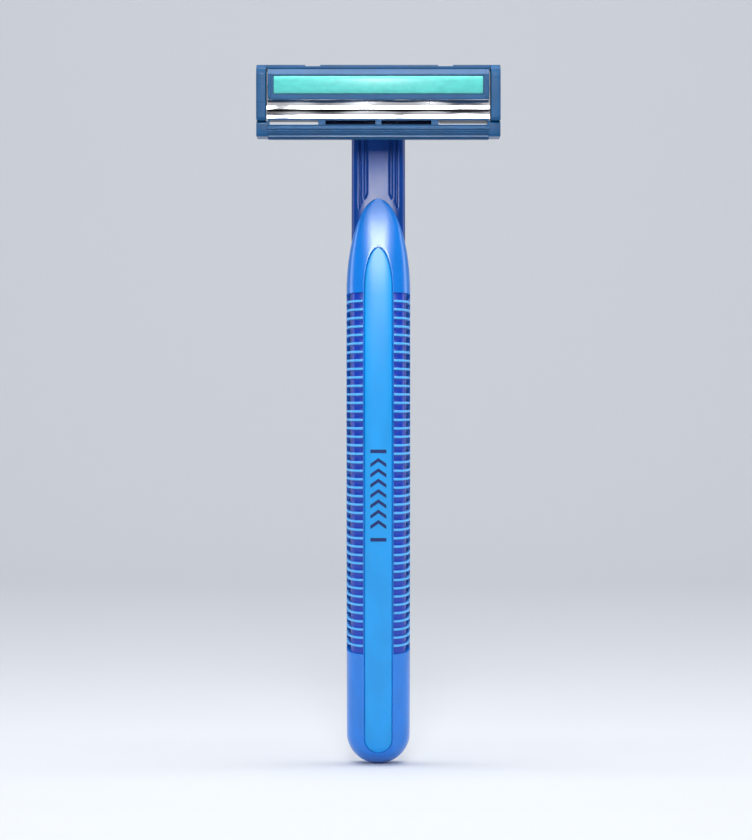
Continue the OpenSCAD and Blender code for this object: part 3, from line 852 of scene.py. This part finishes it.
class RAZOR_OT_platform(bpy.types.Operator):
    """Builds the moulding that seats the blades, with its guard bar and rinse slot"""
    bl_idname = "razor.platform"
    bl_label = "Platform and Guard"

    def execute(self, context):
        # The guard bar turns from the underside to the front, with four ridges along it
        front, guard_radius, ridge_height, ridge_width = -6.4, 2.0, 0.3, 3.2
        ridges = (262, 238, 213, 194.5)
        arc = []
        for step in range(61):
            angle = 270 - 1.5 * step
            ridge = max(math.exp(-((angle - middle) / ridge_width) ** 2) for middle in ridges)
            r = guard_radius + ridge_height * ridge * (angle < 268)
            turn = math.radians(angle)
            arc.append((guard_radius + front + r * math.cos(turn), guard_radius + r * math.sin(turn), 0))
        outline = side_view([(0, 0)] + arc + [
            (front, 2.3, 0.1), (-6.206, 2.8, 0.1), (-6.206, 3.332, 0.05), (-3.992, 8.813, 0.1), (0, 8.668)])
        base = prism(outline, 0.12 * MM, -HEAD_INNER * MM, HEAD_INNER * MM, in_head, 0.05 * MM)
        # The rinse slot between its webs: (x0, x1, y0, y1). The inner two stop at the rail's channel
        slots = ((0.5, 8.9, -12, -2.89), (-8.9, -0.5, -12, -2.89),
                 (10.1, 18.35, -12, 3), (-18.35, -10.1, -12, 3))
        slot_low, slot_top = 2.05, 2.8
        parts = [("DIFFERENCE", head_box(*slot, slot_low, slot_top)) for slot in slots]
        parts += [("DIFFERENCE", head_box(*box)) for box in RAIL_CHANNEL]
        corner = side_view([(-6.1, 0.1), (-0.1, 0.1), (-0.1, 2.7), (-6.1, 2.7)])
        for side in (-1, 1):
            low, high = sorted((side * 18.5 * MM, side * 20.55 * MM))
            parts.insert(0, ("UNION", prism(corner, 0.5 * MM, low, high, in_head, 0.12 * MM)))
        head_moulding(context, "guard_moulding", "platform", base, parts)
        return {"FINISHED"}


class RAZOR_OT_cap(bpy.types.Operator):
    """Builds the cap that clamps the blades, with its bevelled brow and raised ends"""
    bl_idname = "razor.cap"
    bl_label = "Cap"

    def execute(self, context):
        outline = side_view([
            (-5.819, 6.18, 0.12), (-4.646, 9.084, 0.12), (-3.89, 9.084, 0.1), (-3.89, 8.68, 0.1),
            (-0.3, 8.68, 0.12), (-0.3, 11.48, 0.12), (-5.75, 11.48, 0.16), (-6.55, 10.6, 0.16),
            (-6.55, 6.3, 0.16)])
        base = prism(outline, 0.1 * MM, -HEAD_INNER * MM, HEAD_INNER * MM, in_head, 0.08 * MM)
        raised_end = side_view([(-6.78, 6.55), (-6.1, 6.55), (-6.1, 11.25), (-6.3, 11.25), (-6.78, 10.6)])
        parts = []
        for side in (-1, 1):
            low, high = sorted((side * (HEAD_INNER - 0.6) * MM, side * (HEAD_INNER - 0.02) * MM))
            parts.append(("UNION", prism(raised_end, 0.12 * MM, low, high, in_head, 0.1 * MM)))
        # The strip's recess leaves 0.07 mm all round
        half = context.scene.razor_cartridge.strip_length / 2 / MM + 0.07
        parts.append(("DIFFERENCE", head_box(-half, half, -7.5, -6.0, 7.18, 10.32)))
        head_moulding(context, "cap_moulding", "cap", base, parts)
        return {"FINISHED"}


class RAZOR_OT_strip(bpy.types.Operator):
    """Builds the lubricating strip"""
    bl_idname = "razor.strip"
    bl_label = "Lubricating Strip"

    def execute(self, context):
        sizes = context.scene.razor_cartridge
        low, back, height = 7.25 * MM, -6.02 * MM, sizes.strip_height
        # Its face is nearly flat, with a soft chamfer above that catches the light and a tighter one below
        profile = ((-6.50, 0), (-6.66, 0.05), (-6.73, 0.11), (-6.77, 0.24), (-6.78, 0.5), (-6.765, 0.7),
                   (-6.735, 0.8), (-6.69, 0.86), (-6.61, 0.93), (-6.5, 1))
        outline = [(y * MM, low + height * t) for y, t in profile] + [(back, low + height), (back, low)]
        mesh = prism(outline, 0, -sizes.strip_length / 2, sizes.strip_length / 2, in_head, 0.12 * MM)
        piece(mesh, "lube_strip_bar", lubricating_polymer(context.scene.razor_colours), "cartridge",
              ("lube_strip",), math.radians(60))
        return {"FINISHED"}


class RAZOR_OT_frame(bpy.types.Operator):
    """Builds the outer frame: a top band with an end arm at each side"""
    bl_idname = "razor.frame"
    bl_label = "Cartridge Frame"

    def execute(self, context):
        sizes = context.scene.razor_cartridge
        outer = HEAD_WIDTH / 2
        # The band's front view, with its two shallow notches in the top edge
        end, low, top, notch = outer - 0.03 * MM, 11.52 * MM, 12.2 * MM, 12.0 * MM
        view = [(-end, low), (end, low), (end, top)]
        for middle in (11.3 * MM, -11.05 * MM):
            for across, z in ((1.3, top), (1.2, notch), (-1.2, notch), (-1.3, top)):
                view.append((middle + across * MM, z))
        view.append((-end, top))

        def from_front(x, z, y):
            return in_head(y, z, x)

        base = prism(view, 0.1 * MM, -5.65 * MM, -0.33 * MM, from_front, 0.08 * MM)
        arm = side_view([
            (-0.3, 2.74, 0.3), (-0.3, 12.17, 0.3), (-5.65, 12.17, 0.4), (-6.55, 11.5, 0.4),
            (-6.85, 10.6, 0.5), (-6.85, 3.2, 0.4), (-6.55, 2.74, 0.3)])
        parts = []
        for side in (-1, 1):
            low, high = sorted((side * (outer - sizes.arm_width), side * outer))
            parts.append(("UNION", prism(arm, 0.3 * MM, low, high, in_head, 0.2 * MM)))
        parts += [("DIFFERENCE", head_box(*box)) for box in RAIL_CHANNEL]
        head_moulding(context, "frame_moulding", "head_frame", base, parts)
        return {"FINISHED"}


class RAZOR_OT_blades(bpy.types.Operator):
    """Gives the blades and the spacer their metal finishes"""
    bl_idname = "razor.blades"
    bl_label = "Blades and Spacer"

    def execute(self, context):
        colours = context.scene.razor_colours
        steel, aluminium = ground_steel(colours), rolled_aluminium(colours)
        for node, metal in (("seat_blade", steel), ("cap_blade", steel), ("blade_spacer", aluminium)):
            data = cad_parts[node].data
            data.materials.clear()
            data.materials.append(metal)
        return {"FINISHED"}


class RAZOR_OT_stage(bpy.types.Operator):
    """Sets the pale paper sweep, the soft studio lights and the camera"""
    bl_idname = "razor.stage"
    bl_label = "Stage"

    def execute(self, context):
        scene = context.scene
        self.paper(scene)
        world = bpy.data.worlds.new("studio")
        scene.world = world
        world.use_nodes = True
        # A dim, slightly cool surround fills the shadows
        background = world.node_tree.nodes["Background"]
        background.inputs["Color"].default_value = linear("#e8f1fa")
        background.inputs["Strength"].default_value = 0.13
        grip, middle, head = (0, 0, 0.07), (0, 0, 0.08), (0, 0, 0.115)
        # Name, place, aim, width, height and power of each light
        for light in (("front_strip", (0, -0.56, 0.34), middle, 0.09, 0.22, 2.15),
                      ("overhead_box", (0, -0.05, 0.33), head, 0.3, 0.12, 0.8),
                      ("head_card", (0, -0.36, 0.46), head, 0.5, 0.14, 0.24),
                      ("left_box", (-0.6, 0.08, 0.14), grip, 0.28, 0.5, 1.2),
                      ("right_box", (0.6, 0.08, 0.14), grip, 0.28, 0.5, 1.2),
                      ("backdrop_box", (0, 0.30, 0.80), (0, 1.05, 0.30), 1.6, 0.5, 6.5)):
            self.light(scene, *light)
        scene.view_settings.view_transform = "Standard"
        camera = bpy.data.cameras.new("camera")
        camera.lens = 135
        camera.sensor_width = 36
        eye = bpy.data.objects.new("camera", camera)
        scene.collection.objects.link(eye)
        # Half of the view's height at the object, over half of the sensor's, gives the distance
        view_height, front = 142.3 * MM, -6 * MM
        distance = view_height / 2 / (camera.sensor_width / 2 / camera.lens)
        eye.location = (-0.4 * MM, front - distance, 59.5 * MM)
        eye.rotation_euler = (math.radians(90), 0, 0)
        camera.clip_start, camera.clip_end = 0.01, 20
        scene.camera = eye
        return {"FINISHED"}

    def paper(self, scene):
        """A sheet of paper that lies in front and sweeps up behind."""
        front, back, rise, bend, half = -1.6, 1.1, 1.6, 0.5, 2.0
        profile = [(front, 0.0), (-0.4, 0.0), (0.0, 0.0), (0.3, 0.0)]
        for a in between(0, math.pi / 2, 16):
            profile.append((back - bend + bend * math.sin(a), bend - bend * math.cos(a)))
        profile.append((back, rise))
        mesh = bmesh.new()
        rows = [[mesh.verts.new((x, y, z)) for x in between(-half, half, 9)] for y, z in profile]
        for low, high in zip(rows, rows[1:]):
            for i in range(len(low) - 1):
                mesh.faces.new((low[i], low[i + 1], high[i + 1], high[i])).smooth = True
        sweep = new_object(mesh, "paper_sweep")
        sweep.data.materials.append(studio_paper(scene.razor_colours))

    def light(self, scene, name, place, aim, width, height, power):
        """A soft rectangular light turned to its aim."""
        lamp = bpy.data.lights.new(name, "AREA")
        lamp.shape = "RECTANGLE"
        lamp.size, lamp.size_y = width, height
        lamp.energy = power
        made = bpy.data.objects.new(name, lamp)
        made.location = place
        made.rotation_euler = (Vector(aim) - Vector(place)).to_track_quat("-Z", "Y").to_euler()
        scene.collection.objects.link(made)


class RAZOR_PT_panel(bpy.types.Panel):
    """Lists the pieces and their settings"""
    bl_idname = "RAZOR_PT_panel"
    bl_label = "Cartridge Razor"
    bl_space_type = "VIEW_3D"
    bl_region_type = "UI"
    bl_category = "Razor"

    def draw(self, context):
        for operator in OPERATORS:
            self.layout.operator(operator.bl_idname)
        for group in (context.scene.razor_handle, context.scene.razor_cartridge, context.scene.razor_colours):
            for name in group.__annotations__:
                self.layout.prop(group, name)


GROUPS = {"razor_handle": HandleSizes, "razor_cartridge": CartridgeSizes, "razor_colours": FinishColours}
OPERATORS = (RAZOR_OT_stage, RAZOR_OT_shell, RAZOR_OT_panel, RAZOR_OT_side_grips, RAZOR_OT_core,
             RAZOR_OT_mark, RAZOR_OT_platform, RAZOR_OT_cap, RAZOR_OT_strip, RAZOR_OT_frame,
             RAZOR_OT_blades)


def register():
    for made in (*GROUPS.values(), *OPERATORS, RAZOR_PT_panel):
        bpy.utils.register_class(made)
    for name, group in GROUPS.items():
        setattr(bpy.types.Scene, name, PointerProperty(type=group))


def unregister():
    for name in GROUPS:
        delattr(bpy.types.Scene, name)
    for made in reversed((*GROUPS.values(), *OPERATORS, RAZOR_PT_panel)):
        bpy.utils.unregister_class(made)


def main():
    register()
    for operator in OPERATORS:
        group, name = operator.bl_idname.split(".")
        getattr(getattr(bpy.ops, group), name)()


if __name__ == "__main__":
    main()
